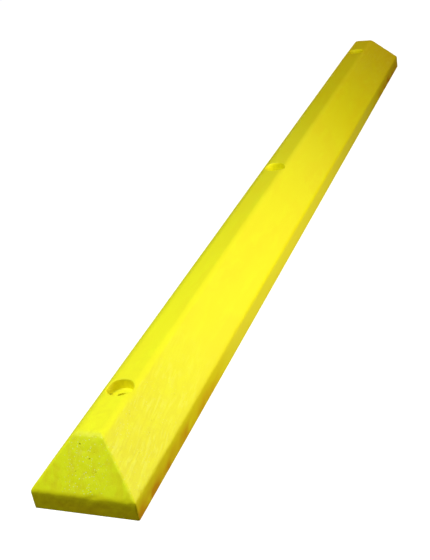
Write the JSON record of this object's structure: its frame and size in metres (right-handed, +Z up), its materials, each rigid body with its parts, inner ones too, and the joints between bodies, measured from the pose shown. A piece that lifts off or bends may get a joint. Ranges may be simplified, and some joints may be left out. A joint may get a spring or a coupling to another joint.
{
  "type": "speed bump",
  "caption": "Long moulded traffic bar with low walls, sloping flanks, hipped ends, a narrow flat crest and counterbored bolt holes through it.",
  "frame": {"origin": "middle of the flat underside, on the road surface", "axes": "+X along the bar, +Y across it, +Z up, away from the road"},
  "size_m": [1.8288, 0.1524, 0.093],
  "materials": {
    "bar_plastic": "safety-yellow moulded recycled plastic, satin, with faint flow streaks, pits and paler marbling"
  },
  "bodies": {
    "root": {"speed_bump_bar": "bar_plastic"}
  },
  "joints": []
}
